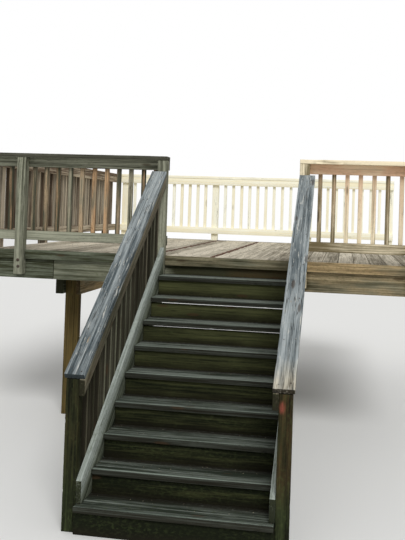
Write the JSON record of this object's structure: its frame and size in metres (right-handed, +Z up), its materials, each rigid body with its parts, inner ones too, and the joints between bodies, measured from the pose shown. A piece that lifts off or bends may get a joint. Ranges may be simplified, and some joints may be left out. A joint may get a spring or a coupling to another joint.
{
  "type": "wooden deck stairs",
  "caption": "Raised timber deck reached by a straight flight with closed stringers, board treads and risers, and baluster guards with flat caps.",
  "frame": {"origin": "the middle of the ledger's outer face, the face that stands on the wall of the house", "axes": "+X out of that face into the wall, +Y the way someone walks up the flight, +Z up"},
  "size_m": [4.1235, 6.7055, 2.6],
  "materials": {
    "step_wood": "weathered",
    "riser_wood": "weathered",
    "stringer_wood": "weathered",
    "stair_cap_wood": "weathered",
    "stair_guard_wood": "weathered",
    "newel_wood": "weathered",
    "deck_wood": "weathered",
    "frame_wood": "weathered",
    "post_wood": "weathered",
    "left_guard_wood": "weathered",
    "side_guard_wood": "weathered",
    "back_guard_wood": "weathered",
    "right_guard_wood": "weathered"
  },
  "bodies": {
    "root": {"beam": "frame_wood", "bottom_step_front": "riser_wood", "bottom_step_sides": "riser_wood", "deck_boards": "deck_wood", "edge_strip_back": "frame_wood", "edge_strip_front": "frame_wood", "guard_cap_back": "back_guard_wood", "guard_cap_front_left": "left_guard_wood", "guard_cap_front_right": "right_guard_wood", "guard_cap_side": "side_guard_wood", "guard_panel_back": "back_guard_wood", "guard_panel_front_left": "left_guard_wood", "guard_panel_front_right": "right_guard_wood", "guard_panel_side": "side_guard_wood", "guard_posts_back": "back_guard_wood", "guard_posts_front_left": "left_guard_wood", "guard_posts_front_right": "right_guard_wood", "guard_posts_side": "side_guard_wood", "joists": "frame_wood", "ledger": "frame_wood", "newel_left": "newel_wood", "newel_right": "newel_wood", "rim_back": "frame_wood", "rim_front": "frame_wood", "rim_left": "frame_wood", "risers": "riser_wood", "stair_cap_left": "stair_cap_wood", "stair_cap_right": "stair_cap_wood", "stair_panel_left": "stair_guard_wood", "stair_panel_right": "stair_guard_wood", "stringer_left": "stringer_wood", "stringer_right": "stringer_wood", "support_posts": "post_wood", "tread_1": "step_wood", "tread_2": "step_wood", "tread_3": "step_wood", "tread_4": "step_wood", "tread_5": "step_wood", "tread_6": "step_wood", "tread_7": "step_wood", "tread_8": "step_wood", "tread_9": "step_wood", "tread_cleats_left": "frame_wood", "tread_cleats_right": "frame_wood"}
  },
  "joints": []
}
